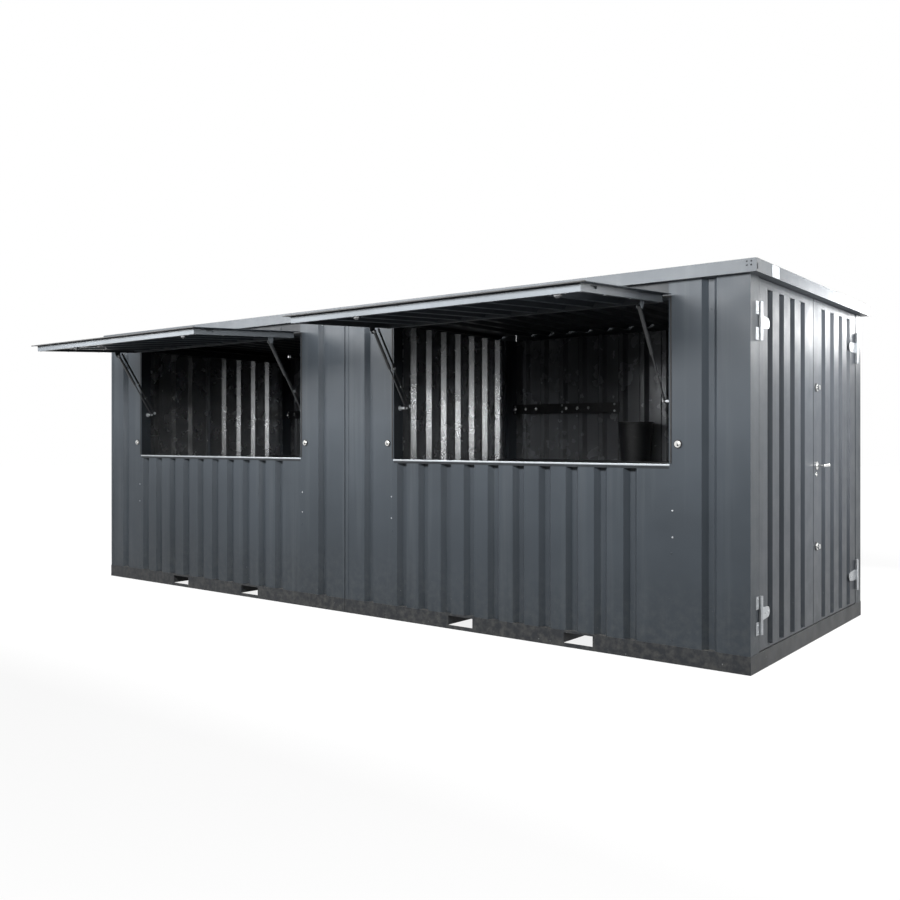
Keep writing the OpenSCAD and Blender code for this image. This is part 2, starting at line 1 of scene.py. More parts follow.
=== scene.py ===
"""Container serving bar: its finishes, fixings and seals, with the lamps and the camera."""
import json
import math

import bpy
from mathutils import Matrix, Vector


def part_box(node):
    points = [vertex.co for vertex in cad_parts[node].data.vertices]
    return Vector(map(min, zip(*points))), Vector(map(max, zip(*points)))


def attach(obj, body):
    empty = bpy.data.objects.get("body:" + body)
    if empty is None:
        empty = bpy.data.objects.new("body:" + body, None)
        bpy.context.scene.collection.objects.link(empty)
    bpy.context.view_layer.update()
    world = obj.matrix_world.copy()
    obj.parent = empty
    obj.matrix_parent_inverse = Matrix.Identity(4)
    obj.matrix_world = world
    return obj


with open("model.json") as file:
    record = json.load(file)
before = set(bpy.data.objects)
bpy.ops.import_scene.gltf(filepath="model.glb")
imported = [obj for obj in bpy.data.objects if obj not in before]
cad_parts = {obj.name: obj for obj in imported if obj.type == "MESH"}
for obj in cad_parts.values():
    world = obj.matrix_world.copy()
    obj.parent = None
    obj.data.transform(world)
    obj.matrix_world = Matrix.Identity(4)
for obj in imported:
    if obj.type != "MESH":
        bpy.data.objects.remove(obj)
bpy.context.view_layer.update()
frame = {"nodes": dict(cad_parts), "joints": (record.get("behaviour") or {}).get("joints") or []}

scene = bpy.context.scene
bpy.ops.object.select_all(action="DESELECT")

# ---- Camera ----
# Eye height of a standing person, off the right front corner, looking along both
# the front and the right end.
VIEW_YAW = math.radians(37.83)
bpy.ops.object.camera_add(location=(4.793, -6.020, 1.263), rotation=(math.pi / 2, 0, VIEW_YAW))
camera = bpy.context.object
camera.data.sensor_width = 36
camera.data.lens = 37.416
camera.data.shift_y = -0.0121
scene.camera = camera

# ---- Studio ----
# Pale floor that runs out to white, a long soft strip at roof height along each side,
# which lights the walls most under the roof edge, and a wide soft lamp overhead.
scene.view_settings.view_transform = "Standard"


def add(tree, kind, values=(), **settings):
    """Adds a node. Values fill its inputs in order, capitalised names fill them by name."""
    node = tree.nodes.new("ShaderNode" + kind)
    named = [(key.replace("_", " "), value) for key, value in settings.items() if key[0].isupper()]
    for key, value in settings.items():
        if key[0].islower():
            setattr(node, key, value)
    for key, value in list(enumerate(values)) + named:
        if isinstance(value, bpy.types.NodeSocket):
            tree.links.new(value, node.inputs[key])
        else:
            node.inputs[key].default_value = value
    return node


def math_node(tree, operation, *values, clamp=False):
    return add(tree, "Math", values, operation=operation, use_clamp=clamp).outputs[0]


def seen(tree):
    """1 for rays that come from the camera, a reflection or glass, 0 for diffuse light."""
    path = add(tree, "LightPath").outputs
    either = math_node(tree, "MAXIMUM", path["Is Camera Ray"], path["Is Glossy Ray"])
    return math_node(tree, "MAXIMUM", either, path["Is Transmission Ray"])


def blank_material(name):
    material = bpy.data.materials.new(name)
    material.use_nodes = True
    material.node_tree.nodes.clear()
    return material, material.node_tree


def studio_floor():
    bpy.ops.mesh.primitive_circle_add(vertices=96, radius=40, fill_type="NGON")
    floor = bpy.context.object
    floor.name = "studio_floor"
    material, tree = blank_material("studio_floor")
    place = add(tree, "TexCoord").outputs["Object"]
    far = add(tree, "VectorMath", [place], operation="LENGTH").outputs["Value"]
    rim = add(tree, "MapRange", [far, 3.6, 7.5], interpolation_type="SMOOTHSTEP").outputs[0]
    glow = add(tree, "MapRange", [rim, 0, 1, 0.86, 1.0]).outputs[0]
    lit = add(tree, "BsdfDiffuse", Color=(0.13, 0.13, 0.13, 1))
    shine = add(tree, "Emission", Color=(1, 1, 1, 1), Strength=math_node(tree, "MULTIPLY", glow, seen(tree)))
    total = add(tree, "AddShader", [lit.outputs[0], shine.outputs[0]])
    add(tree, "OutputMaterial", [total.outputs[0]])
    floor.data.materials.append(material)


def studio_sky():
    world = bpy.data.worlds.new("studio_sky")
    world.use_nodes = True
    tree = world.node_tree
    tree.nodes.clear()
    level = math_node(tree, "MULTIPLY_ADD", seen(tree), 1 - 0.12, 0.12)
    sky = add(tree, "Background", Color=(1, 1, 1, 1), Strength=level)
    add(tree, "OutputWorld", [sky.outputs[0]])
    scene.world = world


def lamp(name, place, target, size, power):
    bpy.ops.object.light_add(type="AREA", location=place)
    light = bpy.context.object
    light.name = name
    light.rotation_euler = (Vector(target) - Vector(place)).to_track_quat("-Z", "Y").to_euler()
    light.data.shape = "RECTANGLE"
    light.data.size, light.data.size_y = size
    light.data.energy = power
    light.visible_camera = False


studio_floor()
studio_sky()
lamp("front_lamp", (0.5, -3.2, 2.40), (0.5, -1.1, 2.1), (9.0, 0.5), 430)
lamp("end_lamp", (4.15, 0.1, 2.42), (3.0, 0.1, 2.1), (0.4, 3.2), 120)
lamp("back_lamp", (-0.5, 3.6, 2.42), (-0.5, 1.1, 2.0), (9.0, 0.5), 430)
lamp("left_lamp", (-4.15, 0.1, 2.42), (-3.0, 0.1, 2.1), (0.4, 3.2), 120)
lamp("top_lamp", (0.0, -0.5, 7.0), (0.0, 0.0, 2.0), (9.0, 5.0), 420)

# ---- Powder-coated steel ----
# Hot-dip galvanised sheet and rails, powder coated anthracite after pressing: a satin
# skin with a fine orange peel, rain streaks, dust near the ground, and a pale painted
# highlight on upward-facing ledges, speckled like dust.


def srgb(red, green, blue):
    """A colour given as 0 to 255 display values, as the shader's linear colour."""
    def linear(value):
        value /= 255
        return value / 12.92 if value <= 0.04045 else ((value + 0.055) / 1.055) ** 2.4
    return (linear(red), linear(green), linear(blue), 1)


def socket(group, way, name, kind, value=None):
    made = group.interface.new_socket(name=name, in_out=way, socket_type="NodeSocket" + kind)
    if value is not None:
        made.default_value = value


def mix_colour(tree, factor, first, second, how="MIX"):
    node = tree.nodes.new("ShaderNodeMix")
    node.data_type = "RGBA"
    node.blend_type = how
    for index, value in ((0, factor), (6, first), (7, second)):
        if isinstance(value, bpy.types.NodeSocket):
            tree.links.new(value, node.inputs[index])
        else:
            node.inputs[index].default_value = value
    return node.outputs[2]


def object_place(tree, scale=(1, 1, 1)):
    place = add(tree, "TexCoord").outputs["Object"]
    return add(tree, "Mapping", [place], Scale=scale).outputs[0]


def noise(tree, place, scale, detail=3, roughness=0.5):
    return add(tree, "TexNoise", Vector=place, Scale=scale, Detail=detail, Roughness=roughness).outputs["Fac"]


def ramp(tree, value, low, high, to_low=0.0, to_high=1.0):
    return add(tree, "MapRange", [value, low, high, to_low, to_high]).outputs[0]


def powder_coat_group():
    group = bpy.data.node_groups.new("powder_coat", "ShaderNodeTree")
    socket(group, "INPUT", "Paint", "Color", (0.05, 0.05, 0.06, 1))
    socket(group, "INPUT", "Dust", "Float", 0.3)
    socket(group, "INPUT", "Streaks", "Float", 0.3)
    socket(group, "INPUT", "Gloss roughness", "Float", 0.4)
    for name, kind in (("Colour", "Color"), ("Roughness", "Float"), ("Height", "Float")):
        socket(group, "OUTPUT", name, kind)
    given = group.nodes.new("NodeGroupInput").outputs
    plain = object_place(group)
    cloud = noise(group, plain, 1.4, 4)
    tone = ramp(group, cloud, 0.3, 0.7, 0.86, 1.14)
    toned = mix_colour(group, 1.0, given["Paint"], add(group, "CombineColor", [tone, tone, tone]).outputs[0],
                       "MULTIPLY")
    streak = ramp(group, noise(group, object_place(group, (14, 14, 0.5)), 1.0, 4, 0.6), 0.52, 0.72)
    streaked = mix_colour(group, math_node(group, "MULTIPLY", streak, given["Streaks"]),
                          toned, srgb(112, 116, 118))
    facing = add(group, "SeparateXYZ", [add(group, "NewGeometry").outputs["Normal"]]).outputs["Z"]
    # Painted highlight: upward-facing faces are paled, standing in for light catching the ledge tops.
    ledge_highlight = ramp(group, facing, 0.75, 0.98)
    height = add(group, "SeparateXYZ", [add(group, "TexCoord").outputs["Object"]]).outputs["Z"]
    splash = ramp(group, height, 0.55, 0.0, 0.0, 0.55)
    speckle = ramp(group, noise(group, plain, 21, 5, 0.65), 0.42, 0.72)
    # Joins that painted ledge highlight with real dust splashed near the ground, speckled by noise. One input
    # scales both towards the pale dust colour.
    highlight_and_dust = math_node(group, "MULTIPLY", math_node(group, "MAXIMUM", ledge_highlight, splash), speckle)
    dusty_and_highlit = mix_colour(group, math_node(group, "MULTIPLY", highlight_and_dust, given["Dust"], clamp=True),
                       streaked, srgb(150, 147, 139))
    chip = ramp(group, noise(group, plain, 62, 2, 0.7), 0.735, 0.75)
    chipped = mix_colour(group, math_node(group, "MULTIPLY", chip, splash), dusty_and_highlit, srgb(152, 155, 156))
    rough = math_node(group, "ADD", given["Gloss roughness"], ramp(group, noise(group, plain, 7, 4), 0.3, 0.7, -0.05, 0.07))
    rough = math_node(group, "MULTIPLY_ADD", highlight_and_dust, 0.3, rough)
    peel = noise(group, plain, 240, 2)
    wave = noise(group, object_place(group, (3.2, 3.2, 1.1)), 1.0, 2)
    relief = math_node(group, "MULTIPLY_ADD", wave, 5.0, peel)
    out = group.nodes.new("NodeGroupOutput")
    for index, value in enumerate((chipped, rough, relief)):
        group.links.new(value, out.inputs[index])
    return group


POWDER_COAT = powder_coat_group()


def surface(name, group, bump, bump_depth, principled, **inputs):
    """A material whose colour, roughness and relief come from a finish group."""
    material, tree = blank_material(name)
    finish = tree.nodes.new("ShaderNodeGroup")
    finish.node_tree = group
    for key, value in inputs.items():
        finish.inputs[key.replace("_", " ")].default_value = value
    relief = add(tree, "Bump", Strength=bump, Distance=bump_depth, Height=finish.outputs["Height"])
    shader = add(tree, "BsdfPrincipled", Base_Color=finish.outputs["Colour"],
                 Roughness=finish.outputs["Roughness"], Normal=relief.outputs[0], **principled)
    add(tree, "OutputMaterial", [shader.outputs[0]])
    return material


def powder_coat(name, paint, dust_and_highlight, streaks, roughness):
    return surface(name, POWDER_COAT, 0.35, 0.0007, {"Specular_IOR_Level": 0.16},
                   Paint=paint, Dust=dust_and_highlight, Streaks=streaks, Gloss_roughness=roughness)


def dress(material, *names):
    """Gives CAD nodes their finish."""
    for name in names:
        for slot in frame["nodes"][name].material_slots:
            slot.material = material


MODULES = ("left", "right")
DOORS = [f"{side}_{row}" for side in MODULES for row in ("front", "back")]

wall_coat = powder_coat("wall_coat", srgb(50, 55, 60), 0.14, 0.08, 0.42)
base_coat = powder_coat("base_coat", srgb(40, 42, 45), 0.26, 0.04, 0.46)
# Painted light: the roof, its edges, the hatch rails and the roof edge rivets wear the wall paint made paler,
# which stands in for the sky light they catch.
lit_roof_coat = powder_coat("lit_roof_coat", srgb(74, 78, 82), 0.26, 0.08, 0.38)
# Painted shade: the jambs, heads, sills and hinges in and under the opening wear the wall paint darkened for the
# shade there. The roof corner rivets take it too.
shaded_coat = powder_coat("shaded_coat", srgb(30, 33, 36), 0.12, 0.04, 0.42)
dress(wall_coat, "front_pillar_panels", "counter_panels", "corner_posts")
dress(base_coat, "base_side_rails", "base_cross_rails", "fork_channels", "door_headers", "shelf_brackets")
dress(lit_roof_coat, "roof_sheets", "roof_side_edges", "roof_end_edges")
dress(shaded_coat, "hatch_hinge_leaves", "opening_jambs", "opening_heads", "sills")
for side in MODULES:
    dress(wall_coat, f"{side}_hatch_panel")
    dress(lit_roof_coat, f"{side}_hatch_side_rails", f"{side}_hatch_cross_rails")
    dress(shaded_coat, f"{side}_hatch_hinges")


def lined_coat(name, paint, room_side, bare, sheet):
    """Powder coat outside, worn galvanised sheet on the faces that look into a room."""
    material = powder_coat(name, paint, 0.14, 0.08, 0.40)
    tree = material.node_tree
    shader = next(node for node in tree.nodes if node.type == "BSDF_PRINCIPLED")
    facing = add(tree, "VectorMath", [add(tree, "NewGeometry").outputs["Normal"], room_side],
                 operation="DOT_PRODUCT").outputs["Value"]
    lined = ramp(tree, facing, 0.005, 0.02)
    painted = shader.inputs["Base Color"].links[0].from_socket
    smudge = ramp(tree, noise(tree, object_place(tree, (5, 5, 0.8)), 1.0, 2), 0.3, 0.7, 0.82, 1.0)
    shade = add(tree, "CombineColor", [smudge, smudge, smudge]).outputs[0]
    worn = mix_colour(tree, 1.0, sheet, shade, "MULTIPLY")
    tree.links.new(mix_colour(tree, lined, painted, worn), shader.inputs["Base Color"])
    tree.links.new(math_node(tree, "MULTIPLY", lined, bare), shader.inputs["Metallic"])
    dulled = math_node(tree, "MULTIPLY_ADD", lined, -0.16, shader.inputs["Roughness"].links[0].from_socket)
    tree.links.new(dulled, shader.inputs["Roughness"])
    return material


# Painted shade: the partition's painted face takes the darkened copy of the wall paint, srgb(30, 33, 36), for the
# shade inside the rooms.
dress(lined_coat("partition_sheet", srgb(30, 33, 36), (1, 0, 0), 0.9, srgb(176, 178, 180)), "partition_wall")
dress(lined_coat("back_wall_sheet", srgb(50, 55, 60), (0, -1, 0), 0.55, srgb(112, 114, 117)), "back_walls")
for side, inwards in (("left", (1, 0, 0)), ("right", (-1, 0, 0))):
    lined_leaf = lined_coat(f"{side}_leaf_sheet", srgb(52, 56, 61), inwards, 0.9, srgb(176, 178, 180))
    dress(lined_leaf, f"{side}_front_door", f"{side}_back_door")

# ---- Bright metal ----
# Zinc-plated hinge straps, strut ends and rivets, and nickel-plated locks: mottled
# plating with fine brushing and dulled patches.


def plating_group():
    group = bpy.data.node_groups.new("plated_metal", "ShaderNodeTree")
    socket(group, "INPUT", "Metal", "Color", (0.6, 0.6, 0.6, 1))
    socket(group, "INPUT", "Dulling", "Float", 0.4)
    socket(group, "INPUT", "Base roughness", "Float", 0.3)
    for name, kind in (("Colour", "Color"), ("Roughness", "Float"), ("Height", "Float")):
        socket(group, "OUTPUT", name, kind)
    given = group.nodes.new("NodeGroupInput").outputs
    plain = object_place(group)
    flake = add(group, "TexVoronoi", Vector=plain, Scale=170).outputs["Distance"]
    patch = ramp(group, noise(group, plain, 26, 4, 0.6), 0.4, 0.7)
    dull = math_node(group, "MULTIPLY", patch, given["Dulling"])
    darker = mix_colour(group, dull, given["Metal"], srgb(132, 136, 140))
    mottle = ramp(group, flake, 0.0, 0.9, 0.86, 1.05)
    colour = mix_colour(group, 1.0, darker, add(group, "CombineColor", [mottle, mottle, mottle]).outputs[0],
                        "MULTIPLY")
    brushed = noise(group, object_place(group, (900, 900, 40)), 1.0, 2)
    rough = math_node(group, "ADD", math_node(group, "MULTIPLY_ADD", dull, 0.35, given["Base roughness"]),
                      ramp(group, brushed, 0.3, 0.7, -0.04, 0.05))
    out = group.nodes.new("NodeGroupOutput")
    for index, value in enumerate((colour, rough, brushed)):
        group.links.new(value, out.inputs[index])
    return group


PLATED_METAL = plating_group()


def plated(name, metal, dulling, roughness, metallic=1.0):
    return surface(name, PLATED_METAL, 0.2, 0.0002, {"Metallic": metallic},
                   Metal=metal, Dulling=dulling, Base_roughness=roughness)


zinc = plated("zinc_plate", srgb(164, 167, 170), 0.45, 0.36, 0.7)
lock_metal = plated("nickel_plate", srgb(222, 222, 220), 0.15, 0.18)
sill_metal = plated("sill_steel", srgb(150, 155, 159), 0.5, 0.36, 0.55)
dress(zinc, "strut_feet", "post_hinge_leaves", *[f"{door}_straps" for door in DOORS])
dress(lock_metal, "pillar_locks", "hook_knobs", *[f"{side}_door_lock" for side in MODULES])

# ---- Black fittings and boards ----
# Black lacquered gas springs and shelf, a moulded tub, rubber, and film-faced birch
# plywood on the floor with its pressed mesh pattern.


def moulded_group():
    group = bpy.data.node_groups.new("moulded_skin", "ShaderNodeTree")
    socket(group, "INPUT", "Body", "Color", (0.02, 0.02, 0.02, 1))
    socket(group, "INPUT", "Base roughness", "Float", 0.5)
    socket(group, "INPUT", "Grain size", "Float", 400)
    for name, kind in (("Colour", "Color"), ("Roughness", "Float"), ("Height", "Float")):
        socket(group, "OUTPUT", name, kind)
    given = group.nodes.new("NodeGroupInput").outputs
    plain = object_place(group)
    grain = noise(group, plain, given["Grain size"], 2)
    scuff = ramp(group, noise(group, plain, 33, 5, 0.7), 0.55, 0.75)
    colour = mix_colour(group, math_node(group, "MULTIPLY", scuff, 0.25), given["Body"], srgb(96, 96, 95))
    rough = math_node(group, "MULTIPLY_ADD", scuff, 0.15, given["Base roughness"])
    out = group.nodes.new("NodeGroupOutput")
    for index, value in enumerate((colour, rough, grain)):
        group.links.new(value, out.inputs[index])
    return group


MOULDED_SKIN = moulded_group()


def moulded(name, body, roughness, grain=400):
    return surface(name, MOULDED_SKIN, 0.3, 0.0004, {"Specular_IOR_Level": 0.4},
                   Body=body, Base_roughness=roughness, Grain_size=grain)


black_lacquer = moulded("black_lacquer", srgb(26, 27, 29), 0.32, 600)
shelf_lacquer = moulded("shelf_lacquer", srgb(22, 23, 25), 0.45, 350)
tub_plastic = moulded("tub_plastic", srgb(20, 21, 23), 0.42, 300)
rubber = moulded("seal_rubber", srgb(18, 18, 19), 0.7, 500)
for side in MODULES:
    dress(black_lacquer, f"{side}_strut_tubes", f"{side}_strut_rods")
dress(shelf_lacquer, "back_shelves", "hook_rails")
dress(tub_plastic, "tubs")


def floor_board():
    material, tree = blank_material("film_faced_board")
    plain = object_place(tree)
    mesh = add(tree, "TexVoronoi", Vector=plain, Scale=130, feature="DISTANCE_TO_EDGE").outputs["Distance"]
    worn = ramp(tree, noise(tree, plain, 3.4, 5, 0.6), 0.35, 0.7)
    seam = add(tree, "TexBrick", Vector=object_place(tree, (0.8, 0.4, 1)), Scale=1.0, Mortar_Size=0.003)
    colour = mix_colour(tree, worn, srgb(58, 46, 36), srgb(92, 78, 62))
    joined = mix_colour(tree, seam.outputs["Fac"], colour, srgb(20, 17, 14))
    relief = add(tree, "Bump", Strength=0.5, Distance=0.001, Height=mesh)
    shader = add(tree, "BsdfPrincipled", Base_Color=joined, Roughness=ramp(tree, worn, 0, 1, 0.5, 0.7),
                 Normal=relief.outputs[0])
    add(tree, "OutputMaterial", [shader.outputs[0]])
    return material


dress(floor_board(), "floors")

# ---- Rivets and screws ----
# Dome-head blind rivets hold the sheets to posts and rails, and zinc-plated pan screws
# hold the fittings. Each head is turned once and set at every place it is used.
END_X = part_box("base_side_rails")[1].x
WALL_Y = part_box("counter_panels")[0].y
HALF_SEAM = 0.002
MODULE_L = END_X - HALF_SEAM
LEFT_END = {"left": -END_X, "right": END_X - MODULE_L}
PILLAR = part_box("counter_panels")[0].x + END_X
EDGE_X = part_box("roof_end_edges")[1].x
EDGE_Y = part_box("roof_end_edges")[1].y
ROOF_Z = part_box("roof_end_edges")[1].z
EDGE_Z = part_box("roof_side_edges")[0].z


def begin(name, kind, **settings):
    """Starts a piece from one of the plain forms, with nothing else selected."""
    bpy.ops.object.select_all(action="DESELECT")
    getattr(bpy.ops.mesh, f"primitive_{kind}_add")(**settings)
    bpy.ops.object.transform_apply()
    piece = bpy.context.object
    piece.name = name
    return piece


def pick_faces(piece, test):
    """Goes into edit mode with only those faces picked whose centre and normal pass the test."""
    bpy.ops.object.mode_set(mode="OBJECT")
    for parts in (piece.data.vertices, piece.data.edges, piece.data.polygons):
        parts.foreach_set("select", [False] * len(parts))
    for face in piece.data.polygons:
        face.select = test(face.center, face.normal)
    bpy.ops.object.mode_set(mode="EDIT")
    bpy.ops.mesh.select_mode(type="FACE")


def soften(piece, width, segments=2):
    """Rounds the sharp edges and smooths what is left."""
    bpy.ops.object.mode_set(mode="OBJECT")
    edges = piece.modifiers.new("edges", "BEVEL")
    edges.width = width
    edges.segments = segments
    edges.limit_method = "ANGLE"
    bpy.ops.object.modifier_apply(modifier="edges")
    bpy.ops.object.shade_smooth_by_angle(angle=math.radians(40))
    return piece


def bar(name, low, high, edge):
    """A straight bar or plate between two corners, with rounded edges."""
    low, high = Vector(low), Vector(high)
    return soften(begin(name, "cube", size=1, location=(low + high) / 2, scale=high - low), edge)


def rise(height):
    bpy.ops.transform.translate(value=(0, 0, height))


def up(centre, normal):
    return normal.z > 0.9


def rivet_head(radius=0.0045):
    head = begin("rivet_head", "cylinder", vertices=14, radius=radius, depth=0.0012, location=(0, 0, 0.0006))
    for share, lift in ((0.2, 0.0009), (0.3, 0.0005)):
        pick_faces(head, up)
        bpy.ops.mesh.inset(thickness=radius * share)
        rise(lift)
    bpy.ops.object.mode_set(mode="OBJECT")
    bpy.ops.object.shade_smooth_by_angle(angle=math.radians(50))
    return head


def pan_screw(radius=0.0065):
    screw = begin("pan_screw", "cylinder", vertices=18, radius=radius * 1.5, depth=0.0012,
                  location=(0, 0, 0.0006))
    pick_faces(screw, up)
    bpy.ops.mesh.inset(thickness=radius * 0.5)
    bpy.ops.mesh.extrude_region_move(TRANSFORM_OT_translate={"value": (0, 0, 0.003)})
    bpy.ops.mesh.inset(thickness=radius * 0.25)
    rise(0.0008)
    bpy.ops.mesh.inset(thickness=radius * 0.3)
    bpy.ops.mesh.extrude_region_move(TRANSFORM_OT_translate={"value": (0, 0, -0.0018)})
    bpy.ops.object.mode_set(mode="OBJECT")
    bpy.ops.object.shade_smooth_by_angle(angle=math.radians(35))
    return screw


def at(point, facing=(0, 0, 1), turn=0.0):
    """Where a small piece goes: its foot at the point, its head towards the facing."""
    aim = Vector(facing).to_track_quat("Z", "Y").to_matrix().to_4x4()
    return Matrix.Translation(point) @ aim @ Matrix.Rotation(turn, 4, "Z")


def join_into(first, others):
    """Joins the other pieces into the first."""
    bpy.ops.object.select_all(action="DESELECT")
    for piece in [first] + others:
        piece.select_set(True)
    bpy.context.view_layer.objects.active = first
    if others:
        bpy.ops.object.join()
    return first


def spread(master, name, places, body, material):
    """One joined mesh with a copy of the master at each place, riding on a body."""
    copies = []
    for place in places:
        mesh = master.data.copy()
        mesh.transform(place)
        if place.determinant() < 0:
            mesh.flip_normals()
        copies.append(bpy.data.objects.new(name, mesh))
        scene.collection.objects.link(copies[-1])
    return fit(join_into(copies[0], copies[1:]), name, body, material)


def fit(piece, name, body, material):
    piece.name = name
    piece.data.materials.clear()
    piece.data.materials.append(material)
    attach(piece, body)
    return piece


def discard(*masters):
    for master in masters:
        bpy.data.objects.remove(master)


def module_spots(offset):
    """The X of both like places of a module, at that distance from its ends, for both modules."""
    return [LEFT_END[side] + x for side in MODULES for x in (offset, MODULE_L - offset)]


rivet = rivet_head()
screw = pan_screw()
GROOVE_IN = 0.035
PILLAR_GROOVE = 0.233
BASE_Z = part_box("base_side_rails")[1].z

pillar_rivets = [at((x, WALL_Y + GROOVE_IN, z), (0, -1, 0))
                 for x in module_spots(PILLAR_GROOVE) for z in (0.34, 0.78, 1.17, 1.56, 1.98)]
pillar_rivets += [at((x, WALL_Y, z), (0, -1, 0))
                  for x in module_spots(PILLAR - 0.016) for z in (BASE_Z + 0.03, 0.62, 0.98)]
spread(rivet, "pillar_rivets", pillar_rivets, "root", wall_coat)

pillar_screws = [at((x, WALL_Y, z), (0, -1, 0), 0.4) @ Matrix.Scale(0.55, 4)
                 for x in module_spots(PILLAR - 0.022) for z in (0.86, 0.71)]
spread(screw, "pillar_screws", pillar_screws, "root", zinc)

row = [(i + 0.5) * MODULE_L / 15 for i in range(15)]
spread(rivet, "back_wall_rivets",
       [at((LEFT_END[side] + x, -WALL_Y, z), (0, 1, 0))
        for side in MODULES for x in row[::2] for z in (BASE_Z + 0.022, EDGE_Z - 0.03)],
       "root", wall_coat)

corner_rivets = [at((sx * (EDGE_X - dx), sy * EDGE_Y, ROOF_Z - dz), (0, sy, 0))
                 for sx in (-1, 1) for sy in (-1, 1) for dx in (0.028, 0.052) for dz in (0.016, 0.036)]
spread(rivet, "roof_corner_rivets", corner_rivets, "root", shaded_coat)

top_rivets = [at((sx * (0.15 + 0.29 * i), sy * (EDGE_Y - 0.066), ROOF_Z), (0, 0, 1))
              for sx in (-1, 1) for sy in (-1, 1) for i in range(10)]
top_rivets += [at((sx * (EDGE_X - 0.066), -0.9 + 0.3 * i, ROOF_Z), (0, 0, 1))
               for sx in (-1, 1) for i in range(7)]
spread(rivet, "roof_edge_rivets", top_rivets, "root", lit_roof_coat)

# ---- Roof edge joint plates ----
# Folded zinc-plated steel plates that bridge the joints of the end edge profile,
# pressed over its face.


def joint_plate():
    plate = begin("joint_plate", "cube", size=1, location=(0, 0, 0.0006), scale=(0.115, 0.066, 0.0012))
    pick_faces(plate, up)
    bpy.ops.mesh.inset(thickness=0.004)
    rise(0.0004)
    return soften(plate, 0.0003, 1)


plate = joint_plate()
plate_y = EDGE_Y - 0.30
plate_places = [at((sx * EDGE_X, sy * plate_y, (EDGE_Z + ROOF_Z) / 2), (sx, 0, 0), math.pi / 2)
                for sx in (-1, 1) for sy in (-1, 1)]
plate_long = Matrix.Rotation(math.pi / 2, 4, "Z")
spread(plate, "edge_joint_plates", [place @ plate_long for place in plate_places], "root", zinc)
discard(plate)

# ---- Counter edge and opening seals ----
# A bright steel edging along the front lip of each sill, and black rubber beads round
# the opening that the closed hatch presses on.
SILL_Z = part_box("sills")[1].z
HEAD_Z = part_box("opening_heads")[0].z
for side in MODULES:
    left = LEFT_END[side] + PILLAR
    right = LEFT_END[side] + MODULE_L - PILLAR
    edging = bar("counter_edge", (left - 0.004, WALL_Y - 0.0022, SILL_Z - 0.009),
                 (right + 0.004, WALL_Y + 0.016, SILL_Z + 0.0016), 0.0007)
    fit(edging, f"{side}_counter_edge", "root", sill_metal)
    seal_face = WALL_Y - 0.0035
    posts = [bar("seal", (x - 0.005, seal_face, SILL_Z + 0.006), (x + 0.005, WALL_Y, HEAD_Z + 0.012), 0.0014)
             for x in (left - 0.012, right + 0.012)]
    across = bar("seal", (left - 0.017, seal_face, HEAD_Z + 0.012),
                 (right + 0.017, WALL_Y, HEAD_Z + 0.022), 0.0014)
    fit(join_into(across, posts), f"{side}_opening_seal", "root", rubber)
spread(screw, "sill_screws", [at((x, WALL_Y + 0.05, SILL_Z)) @ Matrix.Scale(0.6, 4)
                              for x in module_spots(PILLAR + 0.02) + module_spots(PILLAR + 0.7)],
       "root", zinc)

# ---- Pillar locks ----
# Round cylinder locks beside each opening: a black plastic ring under the nickel
# rosette, and a dark key channel with its shutter.
LOCK_IN = 0.055
LOCK_Z = (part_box("pillar_locks")[0].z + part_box("pillar_locks")[1].z) / 2
LOCK_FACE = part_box("pillar_locks")[0].y


def washer(name, inner, outer, thickness):
    ring = begin(name, "cylinder", vertices=40, radius=outer, depth=thickness, location=(0, 0, thickness / 2))
    pick_faces(ring, lambda centre, normal: abs(normal.z) > 0.9)
    bpy.ops.mesh.inset(thickness=outer - inner)
    bpy.ops.mesh.delete(type="FACE")
    bpy.ops.object.mode_set(mode="OBJECT")
    for edge in ring.data.edges:
        edge.select = all(Vector(ring.data.vertices[v].co).xy.length < inner + 0.0002 for v in edge.vertices)
    bpy.ops.object.mode_set(mode="EDIT")
    bpy.ops.mesh.select_mode(type="EDGE")
    bpy.ops.mesh.bridge_edge_loops()
    bpy.ops.mesh.select_all(action="SELECT")
    bpy.ops.mesh.normals_make_consistent(inside=False)
    return soften(ring, thickness * 0.3)


lock_ring = washer("lock_ring", 0.0194, 0.0245, 0.004)
lock_places = [at((x, WALL_Y, LOCK_Z), (0, -1, 0)) for x in module_spots(PILLAR - LOCK_IN)]
spread(lock_ring, "pillar_lock_rings", lock_places, "root", rubber)
key_slot = bar("key_slot", (-0.0013, -0.0062, 0), (0.0013, 0.0062, 0.0007), 0.0002)
key_turn = Matrix.Rotation(math.radians(20), 4, "Z")
spread(key_slot, "pillar_key_slots",
       [at((x, LOCK_FACE + 0.0032, LOCK_Z), (0, -1, 0)) @ key_turn for x in module_spots(PILLAR - LOCK_IN)],
       "root", rubber)
cover = begin("key_cover", "cylinder", vertices=24, radius=0.0052, depth=0.003,
              location=(0.004, -0.006, 0.0015))
soften(cover, 0.0008)
spread(cover, "pillar_key_covers",
       [at((x, LOCK_FACE, LOCK_Z), (0, -1, 0)) for x in module_spots(PILLAR - LOCK_IN)],
       "root", rubber)
discard(lock_ring, cover)

# ---- Hatches ----
# Pressed sheet flaps on a welded tube frame: a rubber edge along the skin's free lips,
# rivets through the skin, and two snap catches on the outer cross rail.
joints = {joint["name"]: joint for joint in frame["joints"]}


def hatch_place(side):
    """The hatch's own frame at rest: hinge axis at the origin, the flap along -Z, its room side +Y."""
    hinge = joints[f"{side}_hatch_hinge"]
    centre = Vector((LEFT_END[side], hinge["pos_m"][1], hinge["pos_m"][2]))
    return Matrix.Translation(centre) @ Matrix.Rotation(math.radians(-hinge["range_deg"][1]), 4, "X")


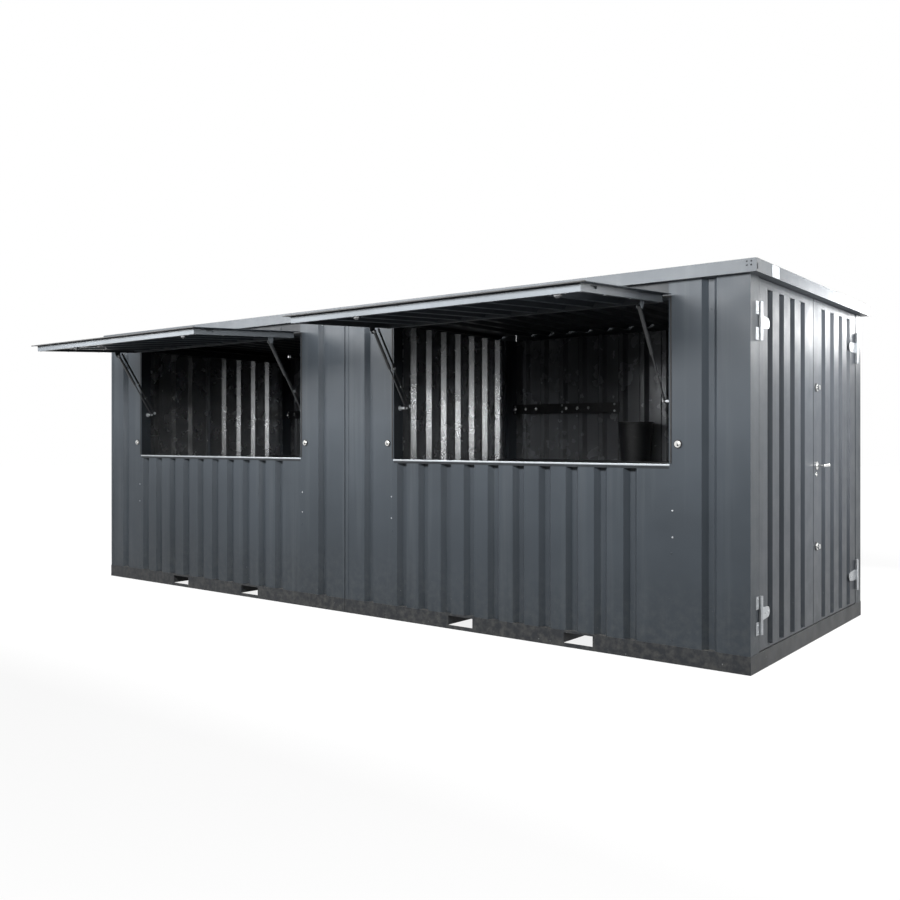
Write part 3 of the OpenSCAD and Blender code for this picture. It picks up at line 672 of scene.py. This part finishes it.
HATCH_X0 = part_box("left_hatch_panel")[0].x + END_X
HATCH_L = 0.990
SKIN_IN = 0.011
SKIN_OUT = 0.008
RAIL_IN = 0.054
FOOT_Z = -0.959
CATCH_PLACES = (1.02, MODULE_L - 0.62)
lip_low = bar("lip", (HATCH_X0 - 0.001, SKIN_OUT - 0.0022, -HATCH_L - 0.0005),
              (MODULE_L - HATCH_X0 + 0.001, SKIN_IN + 0.002, -HATCH_L + 0.009), 0.001)


def catch():
    """A snap catch: black body, raised tongue and a rounded thumb lever."""
    body = begin("catch", "cube", size=1, location=(0, 0, 0.009), scale=(0.058, 0.026, 0.018))
    pick_faces(body, up)
    bpy.ops.mesh.inset(thickness=0.005)
    bpy.ops.mesh.extrude_region_move(TRANSFORM_OT_translate={"value": (0.004, 0, 0.010)})
    bpy.ops.transform.resize(value=(0.7, 0.8, 1))
    return soften(body, 0.0018, 3)


catch_body = catch()
for side in MODULES:
    place = hatch_place(side)
    body = f"{side}_hatch"
    spread(lip_low, f"{side}_hatch_lip", [place], body, rubber)
    skin_rivets = [place @ at((x, SKIN_OUT, z), (0, -1, 0))
                   for x in [HATCH_X0 + 0.06 + i * (MODULE_L - 2 * HATCH_X0 - 0.12) / 11 for i in range(12)]
                   for z in (-0.062, FOOT_Z + 0.02)]
    spread(rivet, f"{side}_hatch_rivets", skin_rivets, body, wall_coat)
    spread(catch_body, f"{side}_hatch_catches",
           [place @ at((x, RAIL_IN, FOOT_Z + 0.02), (0, 1, 0)) @ Matrix.Scale(0.7, 4)
            for x in CATCH_PLACES],
           body, black_lacquer)
    spread(screw, f"{side}_catch_screws",
           [place @ at((x + dx, RAIL_IN, FOOT_Z + 0.02), (0, 1, 0)) @ Matrix.Scale(0.6, 4)
            for x in CATCH_PLACES for dx in (-0.042, 0.042)],
           body, zinc)
    spread(screw, f"{side}_frame_screws",
           [place @ at((x, RAIL_IN, z), (0, 1, 0)) @ Matrix.Scale(0.6, 4)
            for x in (PILLAR + 0.022, MODULE_L - PILLAR - 0.022) for z in (-0.08, -0.42, -0.70, FOOT_Z + 0.02)],
           body, zinc)
discard(lip_low, catch_body)

# ---- Strut stays ----
# Beside each gas spring runs a flat locking stay in two black steel bars, one held at
# the hatch and one at the jamb, that slide past each other. Bright rivets and nuts.
STRUT_X = 0.525
STAY_W = 0.016
STAY_T = 0.003
STAY_OFF = 0.026
STAY_L = 0.318
UPPER_X = 0.0195
LOWER_X = 0.0155
OPEN_L = 0.6029


def stay_bar(name, low_z, high_z, x):
    """A flat bar with tapered ends, at that distance beside the strut."""
    blade = begin(name, "cube", size=1, location=(x, 0, (low_z + high_z) / 2),
                  scale=(STAY_T, STAY_W, high_z - low_z))
    pick_faces(blade, lambda centre, normal: abs(normal.z) > 0.9)
    bpy.ops.mesh.extrude_region_move(TRANSFORM_OT_translate={"value": (0, 0, 0)})
    bpy.ops.object.mode_set(mode="OBJECT")
    for vertex in blade.data.vertices:
        if vertex.select:
            vertex.co.z += math.copysign(STAY_W * 0.32, vertex.co.z - (low_z + high_z) / 2)
            vertex.co.y *= 0.5
    return soften(blade, 0.0006)


for side in MODULES:
    swing = joints[f"{side}_strut_swing"]
    foot = Vector(swing["pos_m"])
    along = Vector(joints[f"{side}_strut_slide"]["axis"]).normalized()
    tilt = math.atan2(-along.y, along.z)
    upper = stay_bar("upper_stay", OPEN_L - STAY_L, OPEN_L + 0.004, UPPER_X)
    lower = stay_bar("lower_stay", -0.004, STAY_L, LOWER_X)
    nut = pan_screw(0.008)
    for half, (blade, body, ends) in {"upper": (upper, f"{side}_tubes", (OPEN_L - 0.006, OPEN_L - 0.30)),
                                      "lower": (lower, f"{side}_rods", (0.0,))}.items():
        places, studs = [], []
        for x, flip in ((STRUT_X, 1), (MODULE_L - STRUT_X, -1)):
            stand = (Matrix.Translation((LEFT_END[side] + x, foot.y, foot.z)) @ Matrix.Rotation(tilt, 4, "X")
                     @ Matrix.Diagonal((flip, 1, 1, 1)))
            offset = Matrix.Translation((0, STAY_OFF, 0))
            places.append(stand @ offset)
            studs += [stand @ at((0.0185, STAY_OFF, z), (1, 0, 0)) for z in ends]
            if half == "lower":
                studs.append(stand @ at((0.014, STAY_OFF, 0.16), (-1, 0, 0)))
            if half == "upper":
                studs.append(stand @ at((0.0065, 0, OPEN_L), (1, 0, 0)) @ Matrix.Scale(1.1, 4))
        spread(blade, f"{side}_{half}_stays", places, body, black_lacquer)
        spread(nut, f"{side}_{half}_stay_studs", studs, body, zinc)
    discard(upper, lower, nut)

# ---- Door fittings ----
# Zinc straps riveted to leaf and post, a keyhole rosette under each lever handle, a
# ring under each round lock, and rubber strips down the leaves' meeting edges.
LEAF_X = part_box("right_front_door")[1].x
HINGE_FEET = (0.200, 1.800)
KNUCKLE = 0.070
STRAP_FACE = LEAF_X + 0.004
POST_PLATE_X = LEAF_X + 0.006


def door_row(door):
    side, line = door.split("_")
    return (1 if side == "right" else -1), (-1 if line == "front" else 1)


for door in DOORS:
    sx, sy = door_row(door)
    hinge_y = abs(joints[f"{door}_door_hinge"]["pos_m"][1])
    strap_rivets = [at((sx * STRAP_FACE, sy * (hinge_y - d), foot + 1.5 * KNUCKLE + dz), (sx, 0, 0))
                    for foot in HINGE_FEET for d, dz in ((0.045, 0.022), (0.045, -0.022), (0.090, 0), (0.135, 0))]
    spread(rivet, f"{door}_strap_rivets", [place @ Matrix.Scale(1.25, 4) for place in strap_rivets],
           f"{door}_door", zinc)
hinge_y = abs(joints["right_front_door_hinge"]["pos_m"][1])
post_rivets = [at((sx * POST_PLATE_X, sy * (hinge_y + 0.030), foot + (k + 0.5) * KNUCKLE + dz), (sx, 0, 0))
               for sx in (-1, 1) for sy in (-1, 1) for foot in HINGE_FEET for k in (0, 2)
               for dz in (-0.018, 0.018)]
spread(rivet, "post_hinge_rivets", [place @ Matrix.Scale(1.25, 4) for place in post_rivets],
       "root", zinc)

LOCK_Y = 0.054
HANDLE_Z = 1.096
ROUND_LOCKS = (0.588, 1.588)
rosette = washer("rosette", 0.0225, 0.027, 0.003)
keyhole = begin("keyhole", "cylinder", vertices=32, radius=0.013, depth=0.004, location=(0, 0, 0.002))
pick_faces(keyhole, up)
bpy.ops.mesh.inset(thickness=0.004)
rise(0.0015)
bpy.ops.mesh.inset(thickness=0.004)
bpy.ops.mesh.extrude_region_move(TRANSFORM_OT_translate={"value": (0, 0, -0.003)})
soften(keyhole, 0.0004)
for side, sx in (("left", -1), ("right", 1)):
    body = f"{side}_back_door"
    spread(rosette, f"{side}_lock_rings", [at((sx * LEAF_X, LOCK_Y, z), (sx, 0, 0)) for z in ROUND_LOCKS],
           body, rubber)
    spread(keyhole, f"{side}_keyhole", [at((sx * LEAF_X, LOCK_Y, HANDLE_Z - 0.055), (sx, 0, 0))],
           body, lock_metal)
    spread(key_slot, f"{side}_round_key_slots",
           [at((sx * (LEAF_X + 0.024), LOCK_Y, z), (sx, 0, 0)) for z in ROUND_LOCKS],
           body, rubber)
discard(rosette, keyhole, key_slot)

for door in DOORS:
    sx, sy = door_row(door)
    low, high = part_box(f"{door}_door")
    inner = min((low.y, high.y), key=abs)
    edge = bar("edge_seal", (sx * (LEAF_X - 0.030), inner, low.z + 0.02),
               (sx * (LEAF_X - 0.022), inner - math.copysign(0.0025, inner), high.z - 0.02), 0.0008)
    bpy.ops.object.mode_set(mode="EDIT")
    bpy.ops.mesh.select_all(action="SELECT")
    bpy.ops.mesh.normals_make_consistent(inside=False)
    bpy.ops.object.mode_set(mode="OBJECT")
    fit(edge, f"{door}_edge_seal", f"{door}_door", rubber)

# ---- Inside fittings ----
# Rolled rim and ring ribs moulded on each tub, and screws through the hook rail.
tub_low, tub_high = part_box("tubs")
TUB_R = (tub_high.y - tub_low.y) / 2
tub_y = (tub_high.y + tub_low.y) / 2
rim = washer("tub_rim", TUB_R - 0.006, TUB_R + 0.005, 0.012)
rib = washer("tub_rib", TUB_R * 0.93, TUB_R * 0.93 + 0.0055, 0.005)
tub_xs = [tub_low.x + TUB_R, tub_high.x - TUB_R]
spread(rim, "tub_rims", [Matrix.Translation((x, tub_y, tub_high.z - 0.010)) for x in tub_xs],
       "root", tub_plastic)
spread(rib, "tub_ribs", [Matrix.Translation((x, tub_y, tub_high.z - dz)) for x in tub_xs for dz in (0.045, 0.062)],
       "root", tub_plastic)
discard(rim, rib)
hook_low, hook_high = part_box("hook_rails")
hook_z = (hook_low.z + hook_high.z) / 2
spread(screw, "hook_rail_screws",
       [at((LEFT_END[side] + x, hook_low.y, hook_z + dz), (0, -1, 0)) for side in MODULES
        for x in (0.06, 0.55, 1.06) for dz in (-0.028, 0.028)], "root", zinc)
discard(rivet, screw)
